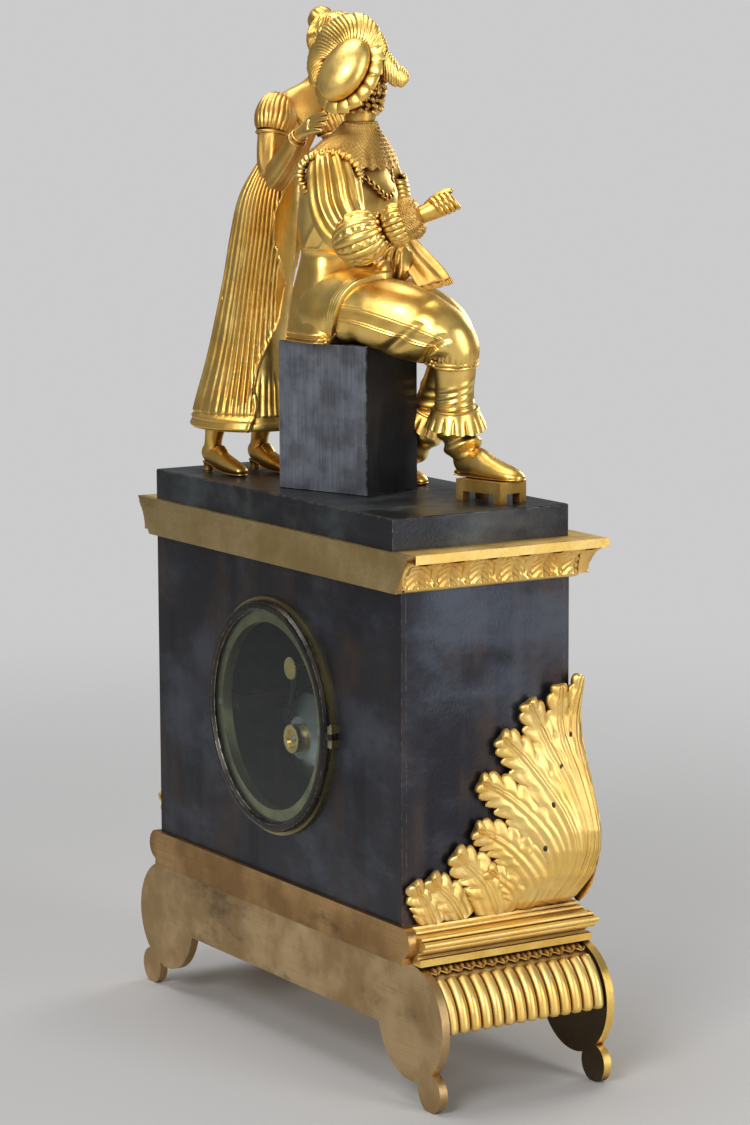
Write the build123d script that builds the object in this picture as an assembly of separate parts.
"""Figural mantel clock: a bronze case on scroll feet, with a seated man and a standing woman on top.

Units are millimetres.  X runs to the right seen from the dial, -Y is the dial side, +Z is up.
The pieces are laid out about the middle of the case and moved together at the end,
so that the origin lies at the bottom centre of the whole clock.
"""
from build123d import *
from math import cos, pi, radians, sin
import os

# driving dimensions of the case
case_width = 276.0
case_depth = 110.0
case_height = 184.0
case_bottom = 100.0
case_wall = 3.0
case_top = case_bottom + case_height
half_width = case_width / 2
half_depth = case_depth / 2

# driving dimensions of the base
plate_thickness = 5.0
rear_plate_face = 51.5
front_plate_face = 62.5
band_bottom = 39.0
scroll_radius = 33.0
scroll_centre_x = 140.0
scroll_centre_z = 46.0
lobe_radius = 11.0
lobe_centre_x = 159.5
foot_flat_cut = 0.5
deck_thickness = 4.0
deck_half_width = 151.0
gadroon_count = 14
gadroon_height = 3.6
gadroon_wall = 4.0
gadroon_sweep = 96.0
gadroon_steps = 10
gadroon_crest_share = 0.98
moulding_reach = 18.0
moulding_front_reach = 9.0
moulding_bar = 12.0
reed_radius = 1.9
reed_shares = (0.62, 0.90, 1.0, 0.82, 0.48)
reed_foot_share = 0.6
reed_top_share = 0.3
strip_thickness = 6.0
strip_half_width = 142.0
strip_bulge = 7.0
strip_rise_share = 0.6
strip_notch_share = 0.1

# driving dimensions of the cornice and the top
cornice_height = 22.0
cornice_reach = 15.0
cornice_front_step = 1.5
cornice_rear_step = 5.0
cornice_lip = 5.0
cornice_bead = 2.6
cornice_bar = 12.0
hollow_share = 0.2
slab_width = 267.0
slab_depth = 115.0
slab_height = 18.0
slab_edge = 0.6

# the block seat, turned about the vertical with the man who sits on it
seat_length = 66.0
seat_breadth = 45.0
seat_height = 85.0
seat_turn = 18.0
seat_edge = 0.5
seat_x = -9.0
seat_y = 9.3
stool_length = 34.0
stool_breadth = 21.0
stool_height = 12.0
stool_turn = 5.0
stool_ahead = 98.0
stool_aside = 8.0
stool_share = 0.45

# the acanthus brackets on the two sides
leaf_thickness = 5.0
leaf_height = 131.5
leaf_belly = 25.0
leaf_front = 60.0
leaf_root_share = 0.14
leaf_flats = 10
frond_root_share = 0.3
# where each frond ends: share of the leaf's height ahead of its front edge and above its foot, and its spread
frond_shares = ((0.01, 0.985, 0.030), (0.115, 0.955, 0.045), (0.265, 0.865, 0.055), (0.400, 0.725, 0.060),
                (0.490, 0.545, 0.060), (0.515, 0.345, 0.055), (0.640, 0.255, 0.050), (0.770, 0.155, 0.045),
                (0.850, 0.110, 0.035))
# the lobes of one frond's end: share of its spread backward, sideways and in size
lobe_shares = ((0, 0, 1), (1.2, 0.85, 1.0), (1.2, -0.85, 1.0))
fan_shares = ((0, 0), (0, 1), (0.40, 0.45), (0.80, 0))
# swell of the front edge: share of the belly outward and of the height upward
belly_shares = ((0.084, 0), (0.75, 0.10), (1.0, 0.27), (0.80, 0.43), (0.40, 0.58))
belly_mid_share = 0.62

# dial, doors and movement, all about one axis through the case
axis_z = 194.5
rear_hole_radius = 60.0
rear_ring_radius = 69.0
rear_ring_inner = 54.4
rear_flange = 2.2
door_radius = 67.0
door_inner = 59.0
door_depth = 4.1
door_gap = 0.2
glass_thickness = 1.5
front_hole_radius = 50.0
front_ring_radius = 62.0
dial_radius = 48.0
dial_thickness = 1.5
bezel_radius = 60.0
bezel_inner = 51.0
bezel_depth = 7.0
fit = 0.05
movement_radius = 41.0
movement_plate = 2.5
movement_front = -47.0
movement_depth = 41.5
pillar_radius = 2.6
barrel_radius = 14.0
winding_x = 17.0
winding_drop = 12.0
arbor_radius = 2.0
bell_radius = 29.5
bell_depth = 17.0
bell_wall = 1.8
bell_drop = 15.0
bell_back = 37.0
bell_nut_radius = 8.3
bell_nut_depth = 6.0
cock_rise = 26.5
spindle_radius = 1.2
spindle_disc_radius = 6.5
bob_radius = 13.0
pendulum_length = 101.0
hinge_radius = 1.9
hinge_pin_radius = 0.8
hinge_length = 12.0
wheel_thickness = 0.8
wheel_play = 0.1
minute_wheel_radius = 12.0
minute_pinion_ratio = 3
hour_pinion_ratio = 4
centre_radius = 1.5
centre_bore = 1.35
cannon_outer = 2.0
hour_pipe_outer = 3.0
dial_clearance = 0.4
dial_hole_clearance = 1.2
wheel_gap = 0.8
stud_radius = 1.2
dial_foot_circle = 37.0
dial_foot_angles = (30, 150, 270)
pillar_circle = 37.5
pillar_angles = (60, 120, 240, 300)
tooth_share = 0.09
fine_tooth_share = 0.05
pinion_tooth_share = 0.18
pinion_teeth = 8
wheel_teeth = 32
minute_wheel_teeth = 24
great_wheel_teeth = 40
great_wheel_rim = 1.6
great_wheel_thickness = 1.4
barrel_front_gap = 2.0
barrel_back_gap = 5.0
square_size = 3.0
square_end = 0.6
hand_thickness = 0.8
hand_gap = 0.6
hand_lift = 1.2
hand_ring_share = 0.62
hour_hand_share = 0.5
minute_hand_share = 0.8
tail_share = 0.2
hour_hand_width = 3.4
minute_hand_width = 3.0
hour_boss_rim = 1.2
minute_boss_rim = 0.6
collet_depth = 1.4
centre_wheel_radius = 12.5
hammer_x = 30.0
hammer_rise = 20.5
hammer_radius = 1.2
hammer_head_x = 35.0
hammer_head_rise = 6.5
hammer_head_radius = 4.5
hammer_head_front = 4.0
hammer_head_back = 3.0
hammer_arm = 1.6
hammer_gap = 3.4
count_x = -19.0
count_rise = 11.0
count_radius = 13.0
count_stud = 3.0
count_gap = 0.8
count_thickness = 1.2
cock_depth = 7.0
cock_half = 5.0
cock_trim = 1.0
loop_gap = 0.5
loop_depth = 2.0
loop_share = 2.1
stem_share = 1.5
regulator_disc_gap = 5.0
regulator_disc_depth = 1.4
bob_half = 3.0
rod_radius = 0.9
rating_drop = 4.0
rating_offset = 0.6
rating_height = 2.0
# half section of the bell: share of the radius and of the depth, from rim to crown
bell_shares = ((1.0, 0.0), (0.86, 0.62), (0.42, 1.0), (0.0, 1.0))
bell_post_radius = 2.0
bell_collar = 4.8
bell_collar_depth = 2.0
nut_hollow_share = 0.66
nut_hollow_depth = 1.5
nut_sink = 0.6
post_foot_x = -26.0
post_foot_drop = 22.0
post_arm_front = 12.0
post_arm_back = 14.0
post_arm_half = 3.0
strap_width = 8.0
strap_thickness = 2.5
strap_gap = 0.4
screw_shank = 1.0
screw_head_share = 1.7
knuckle_inner_share = 0.6
knuckle_outer_share = 0.7
tab_overlap = 1.0
screw_radius = 1.1
screw_head = 0.7
screw_inset = 0.5
door_glass_seat = 4.0
door_glass_depth = 2.3
ring_proud = 3.0
sleeve_depth = 5.0
dial_set_back = 2.0
sleeve_step = 2.0
bezel_seat = 2.0
bezel_seat_depth = 2.2

# the two figures
man_height = 310.0
lady_height = 290.0
head_turn = 90.0
beret_lean = 68.0
cloak_lean = 45.0
cloak_twist = 12.0
lady_x = 88.0
lady_y = 20.0
lady_head_turn = 18.0
lady_head_bow = 14.0
limb_flats = 10
body_flats = 14

# overrun of cutting shapes
over = 1.0

# the whole clock reaches further to the front than to the rear
front_reach = half_depth + cornice_front_step + cornice_reach
rear_reach = half_depth + rear_flange + door_gap + door_depth
frame_shift = (front_reach - rear_reach) / 2

deck_bottom = scroll_centre_z + scroll_radius
deck_top = deck_bottom + deck_thickness
cornice_top = case_top + cornice_height
slab_top = cornice_top + slab_height
seat_top = slab_top + seat_height

os.makedirs("parts", exist_ok=True)


def save(node, *shapes):
    """Move a sub-part into the frame of the whole clock and write it."""
    solids = [solid for shape in shapes for solid in shape.solids()]
    moved = [Pos(0, frame_shift, 0) * solid for solid in solids]
    export_step(moved[0] if len(moved) == 1 else Compound(children=moved), f"parts/{node}.step")


def upright(y):
    """A plane in X and Z at depth y, whose normal points to the front."""
    return Plane(origin=(0, y, 0), x_dir=(1, 0, 0), z_dir=(0, -1, 0))


def rod(radius, y_front, y_back, x=0.0, z=0.0):
    """A round bar along Y."""
    face = Pos(x, z) * Circle(radius)
    return extrude(upright(y_back) * face, amount=y_back - y_front)


def tube(outer, inner, y_front, y_back, x=0.0, z=0.0):
    """A ring along Y."""
    face = Pos(x, z) * (Circle(outer) - Circle(inner))
    return extrude(upright(y_back) * face, amount=y_back - y_front)


def block(x0, x1, y0, y1, z0, z1):
    """A box between two corners."""
    return Pos((x0 + x1) / 2, (y0 + y1) / 2, (z0 + z1) / 2) * Box(x1 - x0, y1 - y0, z1 - z0)


def both(shape):
    """A shape and its mirror image across the middle plane."""
    return shape, mirror(shape, about=Plane.YZ)


def oval(depth, breadth, flats):
    """Corners of a many-sided ring on an ellipse."""
    angles = [2 * pi * (index + 1 / 2) / flats for index in range(flats)]
    return [(depth * cos(angle), breadth * sin(angle)) for angle in angles]


def skin_of(rings):
    """A solid with a skin of flat triangles between successive rings of corners and a flat end at each."""
    count = len(rings[0])
    faces = []
    for near, far in zip(rings, rings[1:]):
        for index in range(count):
            following = (index + 1) % count
            for corners in ((near[index], near[following], far[following]), (near[index], far[following], far[index])):
                faces.append(Face(Wire.make_polygon(corners)))
    for end in (rings[0][::-1], rings[-1]):
        faces.append(Face(Wire.make_polygon(end)))
    return Solid(Shell(faces))


def ring_on(place, points):
    """Flat points carried to a place in space."""
    return [(place * Pos(*point)).position for point in points]


def along(plane, points, radii):
    """Many-sided rings along a broken line, joined by flats; each ring halves the bend there."""
    spots = [Vector(*point) for point in points]
    last = len(spots) - 1
    side = Vector(0, 1, 0)
    angles = [2 * pi * index / limb_flats for index in range(limb_flats)]
    rings = []
    for index, (spot, radius) in enumerate(zip(spots, radii)):
        before = (spot - spots[index - 1]).normalized() if index > 0 else Vector(0, 0, 0)
        after = (spots[index + 1] - spot).normalized() if index < last else Vector(0, 0, 0)
        normal = (before + after).normalized()
        # the seam keeps its side from circle to circle, so the skin does not twist
        side = (side - normal * side.dot(normal)).normalized()
        place = plane * Plane(origin=spot, x_dir=side, z_dir=normal).location
        rings.append(ring_on(place, [(radius * cos(angle), radius * sin(angle)) for angle in angles]))
    return skin_of(rings)


def scaled(size, shares):
    """Every number of a table of shares, times one size."""
    return [tuple(size * share for share in row) for row in shares]


# base: two scroll-footed plates, the gadroon panels between them and the deck on top
def foot_plate(y_back):
    """One cut plate: a band that ends in two scrolls, each on a round lobe cut flat below."""
    lobe_centre_z = lobe_radius - foot_flat_cut
    band = Pos(0, (band_bottom + deck_bottom) / 2) * Rectangle(2 * scroll_centre_x, deck_bottom - band_bottom)
    outline = band
    for side in (-1, 1):
        outline += Pos(side * scroll_centre_x, scroll_centre_z) * Circle(scroll_radius)
        outline += Pos(side * lobe_centre_x, lobe_centre_z) * Circle(lobe_radius)
    outline -= Pos(0, -lobe_radius) * Rectangle(4 * scroll_centre_x, 2 * lobe_radius)
    return extrude(upright(y_back) * outline, amount=plate_thickness)


def gadroon_panel():
    """A quarter-round wall about the scroll, carrying a row of gadroons with three flats each."""
    y_rear = rear_plate_face - plate_thickness
    y_front = -(front_plate_face - plate_thickness)
    pitch = (y_rear - y_front) / gadroon_count
    crest = scroll_radius * gadroon_crest_share
    root = crest - gadroon_height
    inner = root - gadroon_wall
    crest_half = pitch / 4
    points = [(inner, y_front), (root, y_front)]
    for index in range(gadroon_count):
        middle = y_front + (index + 1 / 2) * pitch
        points += [(crest, middle - crest_half), (crest, middle + crest_half), (root, middle + pitch / 2)]
    points += [(inner, y_rear)]
    rings = []
    for step in range(gadroon_steps, -1, -1):
        angle = radians(gadroon_sweep * step / gadroon_steps)
        rings.append([(scroll_centre_x + radius * sin(angle), y, scroll_centre_z + radius * cos(angle))
                      for radius, y in points])
    return skin_of(rings)


save("base_rear_plate", foot_plate(rear_plate_face))
save("base_front_plate", foot_plate(-(front_plate_face - plate_thickness)))
right_gadroons, left_gadroons = both(gadroon_panel())
save("gadroon_panel_right", right_gadroons)
save("gadroon_panel_left", left_gadroons)
save("base_deck", block(-deck_half_width, deck_half_width, -front_plate_face, rear_plate_face, deck_bottom, deck_top))


def reeded_outline(half, reach):
    """Half width at each height of a reeded torus: a cove below, then reeds that rise and step in."""
    height = case_bottom - deck_top
    step = (height - 2 * reed_radius) / len(reed_shares)
    spots = [(half + reach * share - reed_radius, deck_top + reed_radius + step * (index + 1 / 2))
             for index, share in enumerate(reed_shares)]
    core = [(0, deck_top), (half + reach * reed_foot_share, deck_top)] + spots
    core += [(half + reach * reed_top_share, case_bottom), (0, case_bottom)]
    outline = make_face(Polyline(*core, close=True))
    for spot in spots:
        outline += Pos(*spot) * Circle(reed_radius)
    return outline


def base_moulding():
    """Reeded moulding round the front and sides: two prisms crossed, then opened in the middle."""
    wide = reeded_outline(half_width, moulding_reach)
    wide += mirror(wide, about=Plane.YZ)
    deep = reeded_outline(half_depth, moulding_front_reach)
    across = extrude(upright(rear_plate_face) * wide, amount=rear_plate_face + 2 * half_depth)
    along_x = extrude(Plane(origin=(2 * half_width, 0, 0), x_dir=(0, -1, 0), z_dir=(-1, 0, 0)) * deep,
                      amount=4 * half_width)
    rear_part = block(-2 * half_width, 2 * half_width, 0, rear_plate_face, deck_top, case_bottom)
    solid = across & (along_x + rear_part)
    inner = block(-half_width + moulding_bar, half_width - moulding_bar, -half_depth + moulding_bar,
                  rear_plate_face + over, deck_top - over, case_bottom + over)
    return solid - inner


def rear_strip():
    """Plain rounded bar under the back of the case, with a bulge and a notch at each end."""
    height = case_bottom - deck_bottom
    middle = deck_bottom + height * strip_rise_share
    notch = height * strip_notch_share
    half = Pos(strip_half_width / 2, (deck_bottom + case_bottom) / 2) * Rectangle(strip_half_width, height)
    half += Pos(strip_half_width - notch, middle) * Circle(strip_bulge + notch)
    half &= Pos(0, (deck_bottom + case_bottom) / 2) * Rectangle(4 * half_width, height)
    outline = half + mirror(half, about=Plane.YZ)
    return extrude(upright(rear_plate_face + strip_thickness) * outline, amount=strip_thickness)


save("base_moulding", base_moulding())
save("base_rear_strip", rear_strip())


# case: four sheets that butt at the corners, two of them pierced
def panel(y_outer, y_inner, hole_radius):
    """A full-width sheet with a round hole on the axis of the movement."""
    low, high = min(y_outer, y_inner), max(y_outer, y_inner)
    sheet = block(-half_width, half_width, low, high, case_bottom, case_top)
    return sheet - rod(hole_radius, low - over, high + over, 0, axis_z)


side_sheet = block(half_width - case_wall, half_width, -half_depth + case_wall, half_depth - case_wall,
                   case_bottom, case_top)
right_side, left_side = both(side_sheet)
save("case_front_panel", panel(-half_depth, -half_depth + case_wall, front_hole_radius))
save("case_rear_panel", panel(half_depth, half_depth - case_wall, rear_hole_radius))
save("case_side_right", right_side)
save("case_side_left", left_side)


# cornice: a cavetto under a flat lip, mitred round the front, with a plain slanted strip behind
def cornice_outline(half, reach):
    """Half width at each height: a bead, a hollow curve and an upright lip."""
    foot = half + cornice_front_step
    lip_z = cornice_top - cornice_lip
    bead_top = case_top + 2 * cornice_bead
    low_end = Vector(foot + cornice_bead / 2, bead_top)
    high_end = Vector(foot + reach - cornice_bead / 2, lip_z)
    hollow = SagittaArc(low_end, high_end, (high_end - low_end).length * hollow_share)
    lines = Polyline((0, cornice_top), (0, case_top), (foot, case_top))
    bead = ThreePointArc((foot, case_top), (foot + cornice_bead, case_top + cornice_bead), (foot, bead_top))
    step = Line((foot, bead_top), (foot + cornice_bead / 2, bead_top))
    lip = Polyline((foot + reach - cornice_bead / 2, lip_z), (foot + reach, lip_z), (foot + reach, cornice_top),
                   (0, cornice_top))
    return make_face(lines + bead + step + hollow + lip)


def cornice_moulding():
    """The same profile on the front and both sides, from two crossed prisms, opened in the middle."""
    side_reach = cornice_reach - cornice_front_step
    wide = cornice_outline(half_width, side_reach)
    wide += mirror(wide, about=Plane.YZ)
    deep = cornice_outline(half_depth, cornice_reach)
    across = extrude(upright(half_depth) * wide, amount=half_depth + front_reach + over)
    along_x = extrude(Plane(origin=(2 * half_width, 0, 0), x_dir=(0, -1, 0), z_dir=(-1, 0, 0)) * deep,
                      amount=4 * half_width)
    rear_part = block(-2 * half_width, 2 * half_width, 0, half_depth, case_top, cornice_top)
    inner = block(-half_width + cornice_bar, half_width - cornice_bar, -half_depth + cornice_bar,
                  half_depth - cornice_bar, case_top - over, cornice_top + over)
    return (across & (along_x + rear_part)) - inner


def cornice_rear_strip():
    """Flat strip with slanted ends that follow the moulding."""
    foot = half_width + cornice_front_step
    top = half_width + cornice_reach
    outline = make_face(Polyline((-foot, case_top), (foot, case_top), (top, cornice_top), (-top, cornice_top),
                                 close=True))
    return extrude(upright(half_depth + cornice_rear_step) * outline, amount=cornice_rear_step)


save("cornice_moulding", cornice_moulding())
save("cornice_rear_strip", cornice_rear_strip())
slab = block(-slab_width / 2, slab_width / 2, -slab_depth / 2, slab_depth / 2, cornice_top, slab_top)
save("plinth_slab", chamfer(slab.edges().group_by(Axis.Z)[-1], slab_edge))

# the man's own frame stands on the seat: X ahead of him, Y to his left
turn = radians(seat_turn)
man_plane = Plane(origin=(seat_x, seat_y, seat_top), x_dir=(-cos(turn), -sin(turn), 0), z_dir=(0, 0, 1))
seat_body = man_plane * Pos(0, 0, -seat_height / 2) * Box(seat_length, seat_breadth, seat_height)
save("seat_block", chamfer(seat_body.edges(), seat_edge))


def footstool():
    """A little bench cut from one block: a top board on four bracket feet with arches between."""
    leg = stool_height * stool_share
    body = Box(stool_length, stool_breadth, stool_height)
    arch = Pos(0, 0, -stool_height / 2 + leg / 2 - over / 2)
    body -= arch * Box(stool_length - 2 * leg, 2 * stool_breadth, leg + over)
    body -= arch * Box(2 * stool_length, stool_breadth - 2 * leg, leg + over)
    return man_plane * Pos(stool_ahead, stool_aside, stool_height / 2 - seat_height) * Rot(0, 0, -stool_turn) * body


save("footstool", footstool())


# acanthus brackets: fronds fanned from the foot of the case, cut from a console that swells outward
def acanthus():
    """A scalloped fan of fronds on the side of the case, swelling out along its front edge."""
    root = Vector(-leaf_front + leaf_height * leaf_root_share, case_bottom)
    fan = make_face(Polyline(*[(-leaf_front + leaf_height * aside, case_bottom + leaf_height * rise)
                               for aside, rise in fan_shares], close=True))
    for aside, rise, width in frond_shares:
        tip = Vector(-leaf_front + leaf_height * aside, case_bottom + leaf_height * rise)
        ahead = (tip - root).normalized()
        across = Vector(-ahead.Y, ahead.X)
        half = leaf_height * width
        for back, out, size in lobe_shares:
            spot = tip - ahead * (half * (1 + back)) + across * (half * out)
            fan += Pos(spot.X, spot.Y) * RegularPolygon(half * size, leaf_flats)
        near = tip - ahead * half
        narrow = across * (half * frond_root_share)
        corners = [root - narrow, near - across * half, near + across * half, root + narrow]
        fan += make_face(Polyline(*[(corner.X, corner.Y) for corner in corners], close=True))
    side = Plane(origin=(half_width - over, 0, 0), x_dir=(0, 1, 0), z_dir=(1, 0, 0))
    fan_body = extrude(side * fan, amount=leaf_belly + 4 * leaf_thickness)
    belly = [(leaf_belly * out, leaf_height * rise) for out, rise in belly_shares]
    rises = [rise for out, rise in belly] + [leaf_height * 3 / 4, leaf_height]
    belly += [(leaf_thickness, rise) for rise in rises[-2:]]

    def slice_ring(outs, y):
        front = [(half_width + out, y, case_bottom + rise) for out, rise in zip(outs, rises)]
        return [(half_width, y, case_bottom)] + front + [(half_width, y, case_bottom + leaf_height)]

    front_outs = [out for out, rise in belly]
    mid_outs = [out * (1 - belly_mid_share) + leaf_thickness * belly_mid_share for out in front_outs]
    flat_outs = [leaf_thickness] * len(rises)
    swell = skin_of([slice_ring(outs, y) for outs, y in
                     ((front_outs, -leaf_front), (mid_outs, -leaf_front / 3), (flat_outs, leaf_front / 6))])
    rear = block(half_width, half_width + leaf_thickness, leaf_front / 6, half_depth, case_bottom,
                 case_bottom + leaf_height)
    return fan_body & (swell + rear)


right_leaf, left_leaf = both(acanthus())
save("acanthus_leaf_right", right_leaf)
save("acanthus_leaf_left", left_leaf)


# doors: a hinged glazed ring on a fixed ring, behind and in front
def hinge(x, y, toward, fixed_y, fixed_x, moving_x):
    """Fixed knuckles, moving knuckle and pin of one upright hinge at x, y."""
    third = hinge_length / 3
    low = axis_z - hinge_length / 2
    centre = Pos(x, y)
    bore = Pos(x, y, axis_z) * Cylinder(hinge_pin_radius + fit, 2 * hinge_length)
    fixed = []
    for index in (0, 2):
        z0 = low + index * third
        face = centre * (Circle(hinge_radius) - Circle(hinge_pin_radius + fit))
        fixed.append(extrude(Plane.XY.offset(z0) * face, amount=third))
        near, far = sorted((fixed_y, y - toward * hinge_radius * knuckle_inner_share))
        fixed.append(block(x - hinge_radius, fixed_x, near, far, z0, z0 + third) - bore)
    gap = 2 * fit
    face = centre * (Circle(hinge_radius) - Circle(hinge_pin_radius + fit))
    moving = extrude(Plane.XY.offset(low + third + gap) * face, amount=third - 2 * gap)
    lap = hinge_radius * knuckle_outer_share
    tab = block(x + hinge_pin_radius + 2 * fit, moving_x, y - lap, y + lap, low + third + gap,
                low + 2 * third - gap)
    pin = extrude(Plane.XY.offset(low - hinge_pin_radius) * (centre * Circle(hinge_pin_radius)),
                  amount=hinge_length + 2 * hinge_pin_radius)
    return fixed, moving + tab, pin


rear_flange_face = half_depth + rear_flange
door_face = rear_flange_face + door_gap
door_front = door_face + door_depth
rear_sleeve_front = half_depth - case_wall - tab_overlap
rear_hinge_x = -(rear_ring_radius + hinge_radius)
rear_hinge_y = rear_flange_face + hinge_radius + door_gap
screw_x = (rear_ring_inner + rear_hole_radius) / 2 - screw_inset

fixed_knuckles, door_knuckle, rear_pin = hinge(rear_hinge_x, rear_hinge_y, 1, half_depth,
                                               -door_radius - tab_overlap, -door_radius + tab_overlap)
rear_ring = tube(rear_hole_radius - fit, rear_ring_inner, rear_sleeve_front, rear_flange_face, 0, axis_z)
rear_ring += tube(rear_ring_radius, rear_ring_inner, half_depth, rear_flange_face, 0, axis_z)
for knuckle in fixed_knuckles:
    rear_ring += knuckle
for side in (-1, 1):
    rear_ring -= rod(screw_radius + fit, rear_sleeve_front - over, door_front, side * screw_x, axis_z)
save("rear_seat_ring", rear_ring)

glass_back = door_face + door_glass_depth
glass_radius = door_inner + door_glass_seat


def ring_profile(points):
    """Turn a closed outline of (radius, depth) about the axis of the movement."""
    plane = Plane(origin=(0, 0, axis_z), x_dir=(1, 0, 0), z_dir=(0, 0, 1))
    return revolve(plane * make_face(Polyline(*points, close=True)), axis=Axis((0, 0, axis_z), (0, 1, 0)))


# the door's rounded edge and its slope to the glass: share of the width inward and of the depth
door_shares = ((0, 0.45), (0.2, 0.85), (0.6, 1))
door_width = door_radius - glass_radius
door_edge = [(door_radius - door_width * inward, door_face + door_depth * deep) for inward, deep in door_shares]
door = ring_profile([(glass_radius, door_face), (door_radius, door_face)] + door_edge
                    + [(glass_radius - door_width / 6, door_front), (glass_radius - door_width / 2, glass_back),
                       (glass_radius, glass_back)])
door = door + (door_knuckle - rod(glass_radius, 0, 2 * door_front, 0, axis_z))
save("rear_door_ring", door)
save("rear_door_glass", rod(glass_radius - fit, glass_back - glass_thickness, glass_back, 0, axis_z))
save("rear_hinge_pin", rear_pin)

# front: fixed ring, dial, hinged bezel with its glass
front_face = -half_depth
ring_front = front_face - ring_proud
sleeve_back = front_face + sleeve_depth
dial_back = front_face + dial_set_back
bezel_back = ring_front - door_gap
bezel_front = bezel_back - bezel_depth
front_hinge_x = -(front_ring_radius + hinge_radius)
front_hinge_y = ring_front - hinge_radius - door_gap
sleeve_inner = dial_radius - sleeve_step
front_knuckles, bezel_knuckle, front_pin = hinge(front_hinge_x, front_hinge_y, -1, front_face,
                                                 -bezel_radius - tab_overlap, -bezel_radius + tab_overlap)
front_ring = tube(front_ring_radius, dial_radius, ring_front, front_face, 0, axis_z)
front_ring += tube(front_hole_radius - fit, dial_radius, ring_front, sleeve_back, 0, axis_z)
front_ring += tube(front_hole_radius - fit, sleeve_inner, dial_back, sleeve_back, 0, axis_z)
for knuckle in front_knuckles:
    front_ring += knuckle
save("front_seat_ring", front_ring)
# the bezel's outer curve: share of the width inward and of the depth
bezel_shares = ((0, 0), (0, 0.35), (0.24, 0.8), (0.55, 1), (0.87, 1))
bezel_width = bezel_radius - bezel_inner
bezel_seat_radius = bezel_inner + bezel_seat
front_glass_face = bezel_front + bezel_seat_depth
bezel_edge = [(bezel_radius - bezel_width * inward, bezel_back - bezel_depth * deep) for inward, deep in bezel_shares]
bezel = ring_profile([(bezel_seat_radius, bezel_back)] + bezel_edge
                     + [(bezel_inner, bezel_front + bezel_seat_depth / 2), (bezel_inner, front_glass_face),
                        (bezel_seat_radius, front_glass_face)])
bezel = bezel + (bezel_knuckle - rod(bezel_seat_radius, 2 * bezel_front, 0, 0, axis_z))
save("front_bezel", bezel)
save("front_glass", rod(bezel_seat_radius - fit, front_glass_face, front_glass_face + glass_thickness, 0, axis_z))
save("front_hinge_pin", front_pin)

# movement: two round plates on four pillars, hung from the dial
plate_front_back = movement_front + movement_plate
back_plate_rear = movement_front + movement_depth
back_plate_front = back_plate_rear - movement_plate
winding_z = axis_z - winding_drop
cannon_radius = minute_wheel_radius / minute_pinion_ratio
minute_wheel_rise = minute_wheel_radius + cannon_radius + wheel_play
hour_pinion_radius = (minute_wheel_rise - wheel_play) / (1 + hour_pinion_ratio)
hour_wheel_radius = hour_pinion_ratio * hour_pinion_radius
dial_hole = hour_pipe_outer + dial_clearance
hour_wheel_front = dial_back + dial_clearance
hour_wheel_back = hour_wheel_front + wheel_thickness
minute_wheel_front = hour_wheel_back + wheel_gap

dial = rod(dial_radius - fit, dial_back - dial_thickness, dial_back, 0, axis_z)
dial -= rod(dial_hole, dial_back - dial_thickness - over, dial_back + over, 0, axis_z)
for side in (-1, 1):
    dial -= rod(arbor_radius + dial_hole_clearance, dial_back - dial_thickness - over, dial_back + over,
                side * winding_x, winding_z)
for angle in dial_foot_angles:
    foot_x = dial_foot_circle * cos(radians(angle))
    foot_z = axis_z + dial_foot_circle * sin(radians(angle))
    dial += rod(stud_radius, dial_back, movement_front, foot_x, foot_z)
save("dial", dial)


def toothed(radius, bore, teeth, y_front, y_back, x, z, depth_share):
    """A wheel with pointed teeth."""
    root = radius * (1 - depth_share)
    pitch = 2 * pi / teeth
    points = []
    for index in range(teeth):
        for reach_here, turned in ((root, index), (radius, index + 1 / 2)):
            angle = turned * pitch
            points.append((x + reach_here * cos(angle), z + reach_here * sin(angle)))
    face = make_face(Polyline(*points, close=True)) - Pos(x, z) * Circle(bore)
    return extrude(upright(y_back) * face, amount=y_back - y_front)


def hand(length, tail, width, y_front, y_back, boss, bore):
    """A clock hand: a boss, a tapering blade with an open ring, and a pointed tip."""
    ring_at = length * hand_ring_share
    blade = Polyline((-width / 2, 0), (-width / 4, ring_at), (width / 4, ring_at), (width / 2, 0), close=True)
    tip = Polyline((-width / 2, ring_at), (0, length), (width / 2, ring_at), close=True)
    face = make_face(blade) + make_face(tip) + Pos(0, ring_at) * Circle(width) + Circle(boss)
    face -= Pos(0, ring_at) * Circle(width / 2)
    if tail:
        face += Pos(0, -tail / 2) * Rectangle(width / 2, tail)
    face -= Circle(bore)
    return extrude(upright(y_back) * (Pos(0, axis_z) * face), amount=y_back - y_front)


hour_hand_back = dial_back - dial_thickness - hand_lift
hour_hand_front = hour_hand_back - hand_thickness
minute_hand_back = hour_hand_front - hand_gap
minute_hand_front = minute_hand_back - hand_thickness
hour = hand(dial_radius * hour_hand_share, 0, hour_hand_width, hour_hand_front, hour_hand_back,
            hour_pipe_outer + hour_boss_rim, cannon_outer + fit)
hour += tube(hour_pipe_outer, cannon_outer + fit, hour_hand_back, hour_wheel_back, 0, axis_z)
hour += toothed(hour_wheel_radius, cannon_outer + fit, wheel_teeth, hour_wheel_front, hour_wheel_back, 0, axis_z,
                fine_tooth_share)
save("hour_hand", hour)
minute = hand(dial_radius * minute_hand_share, dial_radius * tail_share, minute_hand_width, minute_hand_front,
              minute_hand_back, hour_pipe_outer + minute_boss_rim, centre_bore)
minute += rod(cannon_outer, minute_hand_front - collet_depth, minute_wheel_front + 2 * wheel_thickness, 0, axis_z)
minute += toothed(cannon_radius, centre_bore, pinion_teeth, minute_wheel_front,
                  minute_wheel_front + 2 * wheel_thickness, 0, axis_z, pinion_tooth_share)
minute += rod(centre_radius, minute_hand_front, back_plate_front - fit, 0, axis_z)
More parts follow.
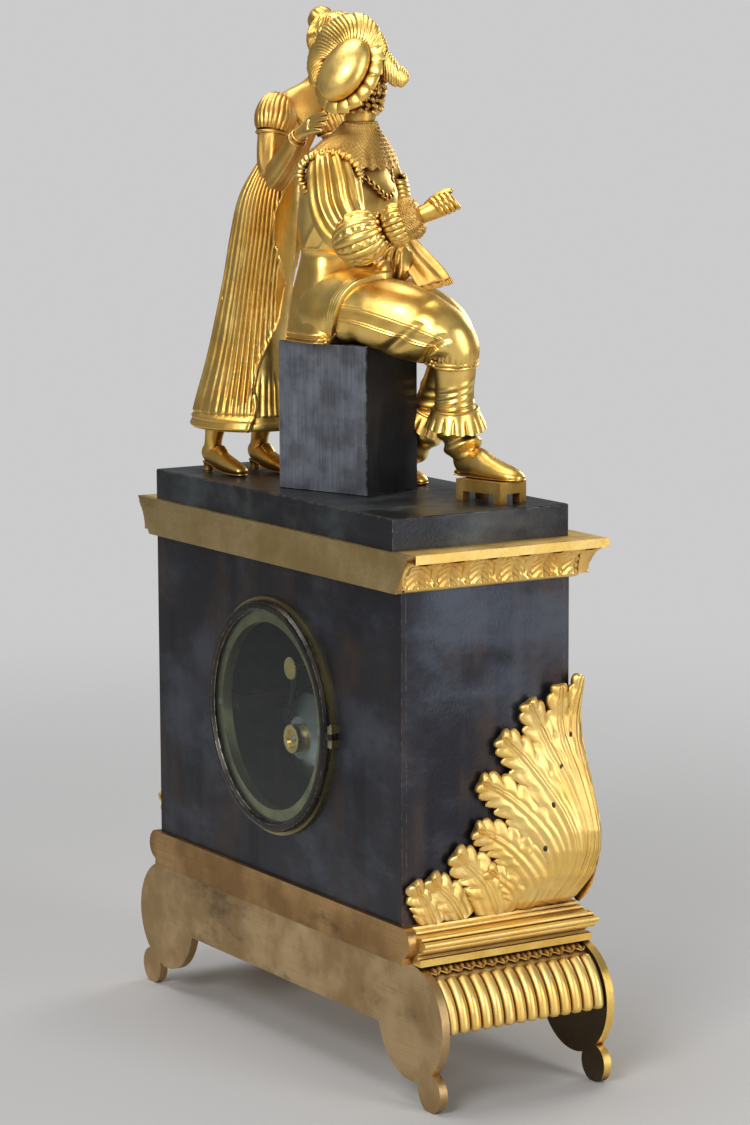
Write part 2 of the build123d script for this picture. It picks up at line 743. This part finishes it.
minute += rod(centre_radius / 2, back_plate_front - 2 * fit, back_plate_rear, 0, axis_z)
minute += toothed(centre_wheel_radius, centre_bore, wheel_teeth, back_plate_front - 3 * wheel_thickness,
                  back_plate_front - 2 * wheel_thickness, 0, axis_z, tooth_share)
save("minute_hand", minute)
motion_z = axis_z + minute_wheel_rise
motion = toothed(minute_wheel_radius, stud_radius + fit, minute_wheel_teeth, minute_wheel_front,
                 minute_wheel_front + wheel_thickness, 0, motion_z, fine_tooth_share)
motion += toothed(hour_pinion_radius, stud_radius + fit, pinion_teeth, hour_wheel_front, minute_wheel_front,
                  0, motion_z, pinion_tooth_share)
save("minute_wheel", motion)

front_plate = rod(movement_radius, movement_front, plate_front_back, 0, axis_z)
front_plate -= rod(centre_radius + fit, movement_front - over, plate_front_back + over, 0, axis_z)
back_plate = rod(movement_radius, back_plate_front, back_plate_rear, 0, axis_z)
back_plate -= rod(centre_radius / 2 + fit, back_plate_front - over, back_plate_rear + over, 0, axis_z)
for side in (-1, 1):
    hole = rod(arbor_radius + fit, movement_front - over, back_plate_rear + over, side * winding_x, winding_z)
    front_plate -= hole
    back_plate -= hole
front_plate += rod(stud_radius, hour_wheel_front, movement_front, 0, motion_z)

hammer_z = axis_z + hammer_rise
count_z = axis_z + count_rise
back_plate -= rod(hammer_radius + fit, back_plate_front - over, back_plate_rear + over, hammer_x, hammer_z)
cock_z = axis_z + cock_rise
back_plate += rod(centre_radius, back_plate_rear, back_plate_rear + count_stud, count_x, count_z)
save("front_movement_plate", front_plate)
save("back_movement_plate", back_plate)
pillars = [rod(pillar_radius, plate_front_back, back_plate_front, pillar_circle * cos(radians(angle)),
               axis_z + pillar_circle * sin(radians(angle))) for angle in pillar_angles]
save("movement_pillars", *pillars)


def barrel(side):
    """Spring barrel with its toothed great wheel, on an arbor that ends in a winding square."""
    x = side * winding_x
    wheel_front = plate_front_back + barrel_front_gap
    wheel_back = wheel_front + great_wheel_thickness
    half = square_size / 2
    body = rod(barrel_radius, wheel_back, back_plate_front - barrel_back_gap, x, winding_z)
    body += toothed(barrel_radius + great_wheel_rim, arbor_radius / 2, great_wheel_teeth, wheel_front, wheel_back,
                    x, winding_z, tooth_share)
    body += rod(arbor_radius, movement_front - square_end, back_plate_rear, x, winding_z)
    body += block(x - half, x + half, dial_back - dial_thickness + square_end, movement_front,
                  winding_z - half, winding_z + half)
    return body


save("going_barrel", barrel(1))
save("strike_barrel", barrel(-1))

count_front = back_plate_rear + count_gap
count = toothed(count_radius, centre_radius + fit, minute_wheel_teeth, count_front, count_front + count_thickness,
                count_x, count_z, tooth_share)
save("count_wheel", count)

# pendulum on its silk spindle, which a round disc behind turns to set the rate
cock_back = back_plate_rear + cock_depth
loop_front = cock_back + loop_gap
loop_back = loop_front + loop_depth
pendulum_y = (loop_front + loop_back) / 2
bob_z = cock_z - pendulum_length
cock_side = cock_half - cock_trim
cock = block(-cock_half, cock_half, back_plate_rear, cock_back, cock_z - cock_side, cock_z + cock_side)
cock -= rod(spindle_radius + fit, back_plate_rear - over, cock_back + over, 0, cock_z)
save("suspension_cock", cock)
disc_front = bell_back + regulator_disc_gap
spindle = rod(spindle_radius, back_plate_rear + fit, disc_front, 0, cock_z)
spindle += rod(spindle_disc_radius, disc_front, disc_front + regulator_disc_depth, 0, cock_z)
save("regulator_spindle", spindle)
swing = tube(spindle_radius * loop_share, spindle_radius + fit, loop_front, loop_back, 0, cock_z)
stem = Plane(origin=(0, pendulum_y, bob_z), z_dir=(0, 0, 1)) * Circle(rod_radius)
swing += extrude(stem, amount=pendulum_length - spindle_radius * stem_share)
bob_profile = [(0, -bob_half), (bob_radius, 0), (0, bob_half)]
bob_plane = Plane(origin=(0, pendulum_y, bob_z), x_dir=(1, 0, 0), z_dir=(0, 0, 1))
swing += revolve(bob_plane * make_face(Polyline(*bob_profile, close=True)),
                 axis=Axis((0, pendulum_y, bob_z), (0, 1, 0)))
nut_low = bob_z - bob_radius - rating_drop
swing += extrude(Plane(origin=(0, pendulum_y, nut_low), z_dir=(0, 0, 1)) * Circle(rod_radius), amount=bob_radius)
nut_plane = Plane(origin=(0, pendulum_y, nut_low + rating_offset), z_dir=(0, 0, 1))
swing += extrude(nut_plane * Circle(2 * rod_radius), amount=rating_height)
save("pendulum", swing)

# bell behind the movement, on a bent post
bell_z = axis_z - bell_drop
bell_front = bell_back - bell_depth


def bell_outline(radius, depth):
    """Half section of the cup, from the rim to the crown."""
    return [(radius * wide, bell_front + depth * deep) for wide, deep in bell_shares]


bell_plane = Plane(origin=(0, 0, bell_z), x_dir=(1, 0, 0), z_dir=(0, 0, 1))
cup_points = bell_outline(bell_radius, bell_depth)
cup_points += bell_outline(bell_radius - bell_wall, bell_depth - bell_wall)[::-1]
cup = revolve(bell_plane * make_face(Polyline(*cup_points, close=True)), axis=Axis((0, 0, bell_z), (0, 1, 0)))
cup -= rod(bell_post_radius + fit, bell_front, bell_back + over, 0, bell_z)
save("bell", cup)
nut_back = bell_back + bell_nut_depth
bell_nut = tube(bell_nut_radius, bell_post_radius + fit, bell_back, nut_back, 0, bell_z)
bell_nut -= rod(bell_nut_radius * nut_hollow_share, nut_back - nut_hollow_depth, nut_back + over, 0, bell_z)
save("bell_nut", bell_nut)
post_foot_z = axis_z - post_foot_drop


def bar_between(start, end, half, y_front, y_back):
    """A flat bar of one width between two points of X and Z."""
    pull = Vector(*end) - Vector(*start)
    across = Vector(-pull.Y, pull.X).normalized() * half
    corners = [Vector(*start) - across, Vector(*end) - across, Vector(*end) + across, Vector(*start) + across]
    outline = make_face(Polyline(*[(corner.X, corner.Y) for corner in corners], close=True))
    return extrude(upright(y_back) * outline, amount=y_back - y_front)


arm = bar_between((post_foot_x, post_foot_z), (0, bell_z), post_arm_half, post_arm_front, post_arm_back)
arm += rod(post_arm_half, post_arm_front, post_arm_back, post_foot_x, post_foot_z)
arm += rod(post_arm_half, post_arm_front, post_arm_back, 0, bell_z)
bell_post = arm + rod(bell_post_radius, back_plate_rear, post_arm_front, post_foot_x, post_foot_z)
bell_post += rod(bell_post_radius, post_arm_back, nut_back - nut_sink, 0, bell_z)
bell_post += rod(bell_collar, bell_back - bell_wall - bell_collar_depth, bell_back - bell_wall, 0, bell_z)
save("bell_post", bell_post)

# hammer beside the bell
hammer_head_z = bell_z + hammer_head_rise
hammer_back = bell_front + hammer_gap
hammer = bar_between((hammer_x, hammer_z), (hammer_head_x, hammer_head_z), hammer_arm, hammer_back - hammer_arm,
                     hammer_back)
hammer += rod(hammer_radius * 2, hammer_back - hammer_arm, hammer_back, hammer_x, hammer_z)
hammer += rod(hammer_radius, back_plate_front, hammer_back, hammer_x, hammer_z)
hammer += rod(hammer_head_radius, hammer_back - hammer_head_front, hammer_back + hammer_head_back, hammer_head_x,
              hammer_head_z)
save("strike_hammer", hammer)

# straps that tie the front ring to the rear ring, and their screws
strap_x = sleeve_inner + strap_gap
strap_end = rear_sleeve_front
straps = []
screws = []
for side in (-1, 1):
    bar = block(strap_x, strap_x + strap_thickness, sleeve_back, strap_end, axis_z - strap_width / 2,
                axis_z + strap_width / 2)
    bar += block(strap_x, screw_x + 2 * screw_radius, strap_end - strap_thickness, strap_end,
                 axis_z - strap_width / 2, axis_z + strap_width / 2)
    bar -= rod(screw_radius + fit, strap_end - strap_thickness - over, strap_end + over, screw_x, axis_z)
    screw = rod(screw_radius, strap_end - strap_thickness - screw_shank, rear_flange_face, screw_x, axis_z)
    screw += rod(screw_head_share * screw_radius, rear_flange_face, rear_flange_face + screw_head, screw_x, axis_z)
    straps.append(bar if side == 1 else mirror(bar, about=Plane.YZ))
    screws.append(screw if side == 1 else mirror(screw, about=Plane.YZ))
save("movement_straps", *straps)
save("strap_screws", *screws)


# the seated man, in shares of his standing height, on the seat's own frame: each row of a body is ahead, left,
# up, half depth and half breadth; each row of a limb is ahead, left, up and radius
doublet_shares = ((-0.012, 0, 0, 0.100, 0.098), (-0.006, 0, 0.055, 0.088, 0.090), (0.004, 0, 0.150, 0.062, 0.068),
                  (0.019, 0, 0.255, 0.080, 0.084), (0.016, 0, 0.322, 0.064, 0.102), (0.022, 0, 0.362, 0.044, 0.066),
                  (0.032, 0, 0.388, 0.027, 0.030))
head_spot_share = (0.038, 0.002, 0.470)
head_shares = ((-0.010, 0, -0.092, 0.024, 0.026), (-0.006, 0, -0.062, 0.024, 0.026), (0.010, 0, -0.060, 0.030, 0.024),
               (0.008, 0, -0.030, 0.046, 0.040), (0.002, 0, 0.012, 0.055, 0.046), (-0.002, 0, 0.045, 0.050, 0.042),
               (-0.004, 0, 0.062, 0.026, 0.022))
nose_shares = ((0.050, 0, -0.012, 0.010, 0.008), (0.050, 0, 0.012, 0.004, 0.004))
beret_spot_share = (-0.030, 0.0, 0.022)
brim_shares = ((0, 0, -0.012, 0.066, 0.066), (0, 0, 0.0, 0.078, 0.076), (0, 0, 0.012, 0.072, 0.070))
crown_shares = ((0, 0, 0.012, 0.058, 0.056), (0, 0, 0.026, 0.062, 0.060), (0, 0, 0.040, 0.050, 0.048),
                (0, 0, 0.046, 0.026, 0.025))
plume_shares = ((-0.050, -0.020, 0.500, 0.012), (-0.052, -0.006, 0.548, 0.020), (-0.014, 0.004, 0.580, 0.022),
                (0.040, 0.012, 0.575, 0.022), (0.085, 0.012, 0.535, 0.018), (0.118, 0.014, 0.492, 0.010))
arm_right_shares = ((0.012, -0.082, 0.325, 0.030), (0.030, -0.100, 0.290, 0.046), (0.060, -0.112, 0.245, 0.040),
                    (0.100, -0.118, 0.200, 0.034), (0.125, -0.120, 0.192, 0.052), (0.160, -0.112, 0.205, 0.050),
                    (0.182, -0.100, 0.218, 0.030), (0.205, -0.088, 0.228, 0.040), (0.228, -0.070, 0.240, 0.036),
                    (0.234, -0.064, 0.244, 0.017), (0.255, -0.052, 0.256, 0.015), (0.285, -0.036, 0.270, 0.016),
                    (0.292, -0.030, 0.272, 0.008))
arm_left_shares = ((0.012, 0.082, 0.325, 0.030), (0.004, 0.105, 0.290, 0.044), (-0.006, 0.132, 0.210, 0.040),
                   (0.004, 0.142, 0.192, 0.040), (0.022, 0.138, 0.222, 0.032), (0.034, 0.124, 0.252, 0.018),
                   (0.040, 0.112, 0.280, 0.017), (0.040, 0.104, 0.292, 0.009))
man_elbow_row = 3
leg_right_shares = ((0.010, -0.046, 0.050, 0.050), (0.080, -0.040, 0.060, 0.066), (0.170, -0.022, 0.060, 0.062),
                    (0.240, -0.004, 0.052, 0.052), (0.266, 0.006, 0.030, 0.046), (0.264, 0.014, -0.020, 0.038),
                    (0.262, 0.020, -0.070, 0.040), (0.264, 0.024, -0.115, 0.040), (0.266, 0.026, -0.122, 0.058),
                    (0.266, 0.030, -0.156, 0.062), (0.262, 0.032, -0.160, 0.036), (0.256, 0.036, -0.200, 0.027))
shoe_right_shares = ((0.222, 0.046, -0.215, 0.022), (0.246, 0.042, -0.200, 0.030), (0.290, 0.036, -0.212, 0.026),
                     (0.340, 0.030, -0.224, 0.021), (0.378, 0.028, -0.232, 0.012))
leg_left_shares = ((0.010, 0.046, 0.050, 0.050), (0.075, 0.060, 0.056, 0.058), (0.150, 0.080, 0.046, 0.052),
                   (0.190, 0.096, 0.022, 0.046), (0.182, 0.112, -0.040, 0.036), (0.160, 0.124, -0.100, 0.036),
                   (0.146, 0.130, -0.140, 0.040), (0.142, 0.132, -0.150, 0.052), (0.128, 0.138, -0.185, 0.050),
                   (0.112, 0.136, -0.190, 0.032), (0.062, 0.130, -0.236, 0.026))
shoe_left_shares = ((-0.030, 0.128, -0.252, 0.020), (0.000, 0.128, -0.246, 0.026), (0.040, 0.130, -0.250, 0.026),
                    (0.080, 0.132, -0.262, 0.018), (0.100, 0.134, -0.268, 0.010))
# the end of his cloak: ahead, left, up, half thickness and half breadth
cloak_shares = ((0.238, 0.085, 0.070, 0.007, 0.075), (0.185, 0.070, 0.140, 0.006, 0.060),
                (0.125, 0.060, 0.190, 0.006, 0.035))
cloak_corners = ((-1, -1), (1, -1), (1, 1), (-1, 1))

# the standing woman, in shares of her height, in her own frame on the slab
gown_shares = ((-0.008, 0, 0.094, 0.131, 0.103), (0.010, 0.007, 0.250, 0.093, 0.078),
               (0.028, 0.017, 0.380, 0.076, 0.067), (0.042, 0.028, 0.485, 0.073, 0.064),
               (0.060, 0.038, 0.570, 0.055, 0.056), (0.072, 0.045, 0.642, 0.043, 0.047))
bodice_shares = ((0.072, 0.045, 0.642, 0.043, 0.047), (0.088, 0.055, 0.700, 0.052, 0.060),
                 (0.096, 0.061, 0.742, 0.040, 0.074), (0.116, 0.072, 0.775, 0.028, 0.046),
                 (0.130, 0.082, 0.793, 0.023, 0.023))
lady_neck_shares = ((0.130, 0.082, 0.785, 0.022), (0.155, 0.095, 0.815, 0.020), (0.175, 0.102, 0.835, 0.020))
lady_head_spot_share = (0.192, 0.107, 0.866)
lady_face_shares = ((0.012, 0, -0.066, 0.016, 0.014), (0.010, 0, -0.040, 0.042, 0.034), (0.004, 0, 0.0, 0.054, 0.045),
                    (-0.002, 0, 0.036, 0.050, 0.043), (-0.004, 0, 0.058, 0.026, 0.022))
lady_nose_shares = ((0.050, 0, -0.022, 0.010, 0.008), (0.052, 0, 0.004, 0.004, 0.004))
bun_shares = ((-0.030, 0, 0.036, 0.026), (-0.048, 0, 0.052, 0.032), (-0.062, 0, 0.064, 0.020))
lady_right_shares = ((0.112, 0.020, 0.748, 0.026), (0.120, 0.004, 0.735, 0.042), (0.126, -0.008, 0.704, 0.038),
                     (0.128, -0.010, 0.696, 0.030), (0.140, -0.018, 0.640, 0.028), (0.150, -0.020, 0.606, 0.025),
                     (0.168, -0.020, 0.612, 0.024), (0.215, -0.022, 0.655, 0.020), (0.252, -0.024, 0.688, 0.016),
                     (0.262, -0.024, 0.694, 0.011), (0.300, -0.024, 0.712, 0.014), (0.352, -0.020, 0.722, 0.010))
lady_left_shares = ((0.092, 0.112, 0.748, 0.026), (0.094, 0.128, 0.735, 0.042), (0.104, 0.144, 0.704, 0.038),
                    (0.106, 0.146, 0.696, 0.030), (0.124, 0.166, 0.640, 0.028), (0.134, 0.172, 0.614, 0.025),
                    (0.150, 0.170, 0.614, 0.024), (0.200, 0.160, 0.628, 0.020), (0.246, 0.150, 0.644, 0.012),
                    (0.276, 0.142, 0.652, 0.014), (0.304, 0.136, 0.652, 0.010))
lady_elbow_row = 5
# her ankle and shoe, measured from where the foot stands
ankle_shares = ((-0.052, 0, 0.094, 0.022), (-0.062, 0, 0.056, 0.018), (-0.060, 0, 0.034, 0.020))
lady_shoe_shares = ((-0.090, 0, 0.030, 0.014), (-0.066, 0, 0.028, 0.023), (-0.020, 0, 0.020, 0.021),
                    (0.030, 0, 0.010, 0.018), (0.066, 0, 0.006, 0.010))
heel_spot_share = (-0.082, 0, 0.010)
heel_size_share = (0.018, 0.026, 0.020)
foot_spot_shares = ((0.0, -0.048, 0), (0.020, 0.050, 0))
# a round joint: share of the radius upward and of its width
ball_shares = ((-0.95, 0.3), (-0.6, 0.8), (0, 1), (0.6, 0.8), (0.95, 0.3))


def man(*rows):
    """Rows of shares to rows of sizes for the man."""
    return scaled(man_height, rows)


def lady(*rows):
    """Rows of shares to rows of sizes for the woman."""
    return scaled(lady_height, rows)


def round_limb(plane, rows):
    """A limb with a round section; each row is ahead, left, up and radius."""
    return along(plane, [row[:3] for row in rows], [row[3] for row in rows])


def stack(plane, rows, flats=body_flats):
    """Level ovals joined by flats; each row is ahead, left, up, half depth and half breadth."""
    return skin_of([ring_on(plane * Pos(*row[:3]), oval(row[3], row[4], flats)) for row in rows])


def bent_limb(plane, rows, joint):
    """Two such limbs that meet in a round joint."""
    ahead, left, up, radius = rows[joint]
    levels = [(ahead, left, up + radius * rise, radius * wide, radius * wide) for rise, wide in ball_shares]
    ball = stack(plane, levels, limb_flats)
    return round_limb(plane, rows[:joint + 1]) + ball + round_limb(plane, rows[joint:])


def clear_of(shape, *others):
    """A shape cut back where other pieces are."""
    for other in others:
        shape = shape - other
    return max(shape.solids(), key=lambda solid: solid.volume)


doublet = stack(man_plane, man(*doublet_shares))
save("man_doublet", doublet)

# his head is turned a quarter to his left
head_plane = man_plane * Pos(*man(head_spot_share)[0]) * Rot(0, 0, head_turn)
man_head = stack(head_plane, man(*head_shares))
nose = stack(head_plane, man(*nose_shares))
man_head = clear_of(man_head + nose, doublet)
save("man_head", man_head)

# beret worn on the back of the head: an oval crown over a flat slashed brim, with a drooping feather
beret_plane = head_plane * Pos(*man(beret_spot_share)[0]) * Rot(0, -beret_lean, 0)
beret = stack(beret_plane, man(*brim_shares)) + stack(beret_plane, man(*crown_shares))
beret = clear_of(beret, man_head)
save("man_beret", beret)
plume = clear_of(round_limb(man_plane, man(*plume_shares)), beret, man_head)
save("man_plume", plume)

# his arms
right_arm = bent_limb(man_plane, man(*arm_right_shares), man_elbow_row)
save("man_arm_right", clear_of(right_arm, doublet))
left_arm = bent_limb(man_plane, man(*arm_left_shares), man_elbow_row)
save("man_arm_left", clear_of(left_arm, doublet))

# his legs, each with its breeches, boot and shoe; a flat sole is cut where the foot stands
sole_right = stool_height - seat_height
sole_left = -seat_height


def below(plane, z, size):
    """Everything under a level of a figure's frame, near the clock."""
    return plane * Pos(0, 0, z - size) * Box(2 * size, 2 * size, 2 * size)


leg_right = round_limb(man_plane, man(*leg_right_shares)) + round_limb(man_plane, man(*shoe_right_shares))
leg_right = leg_right - below(man_plane, sole_right, man_height)
seat_and_slab = man_plane * Pos(0, 0, -seat_height) * Box(seat_length, seat_breadth, 2 * seat_height)
save("man_leg_right", clear_of(leg_right, doublet, seat_and_slab))
leg_left = round_limb(man_plane, man(*leg_left_shares)) + round_limb(man_plane, man(*shoe_left_shares))
leg_left = leg_left - below(man_plane, sole_left, man_height)
save("man_leg_left", clear_of(leg_left, doublet, leg_right, seat_and_slab))

# end of his short cloak, lying over the far thigh
cloak = skin_of([ring_on(man_plane * Pos(*row[:3]) * Rot(0, -cloak_lean, cloak_twist),
                         [(row[3] * ahead, row[4] * left) for ahead, left in cloak_corners])
                 for row in man(*cloak_shares)])
save("man_cloak_end", clear_of(cloak, doublet, leg_left, leg_right))

# the standing woman, leaning over his shoulder
lady_plane = Plane(origin=(lady_x, lady_y, slab_top), x_dir=(-1, 0, 0), z_dir=(0, 0, 1))
gown = stack(lady_plane, lady(*gown_shares))
save("lady_gown", gown)
bodice = stack(lady_plane, lady(*bodice_shares))
save("lady_bodice", bodice)
lady_neck = round_limb(lady_plane, lady(*lady_neck_shares))
lady_head_plane = lady_plane * Pos(*lady(lady_head_spot_share)[0])
lady_head_plane = lady_head_plane * Rot(0, 0, lady_head_turn) * Rot(0, lady_head_bow, 0)
lady_face = stack(lady_head_plane, lady(*lady_face_shares))
lady_nose = stack(lady_head_plane, lady(*lady_nose_shares))
bun = round_limb(lady_head_plane, lady(*bun_shares))
save("lady_head", clear_of(lady_neck + lady_face + lady_nose + bun, bodice, plume, beret, man_head))
lady_right = bent_limb(lady_plane, lady(*lady_right_shares), lady_elbow_row)
save("lady_arm_right", clear_of(lady_right, bodice, gown, doublet, man_head, beret, right_arm))
lady_left = bent_limb(lady_plane, lady(*lady_left_shares), lady_elbow_row)
save("lady_arm_left", clear_of(lady_left, bodice, gown, doublet, left_arm))


def lady_foot(spot):
    """Leg under the hem and a heeled shoe, cut flat where it stands."""
    plane = lady_plane * Pos(*spot)
    foot = round_limb(plane, lady(*ankle_shares)) + round_limb(plane, lady(*lady_shoe_shares))
    foot += plane * Pos(*lady(heel_spot_share)[0]) * Box(*lady(heel_size_share)[0])
    return clear_of(foot - below(plane, 0, lady_height), gown)


save("lady_shoes", *[lady_foot(spot) for spot in lady(*foot_spot_shares)])
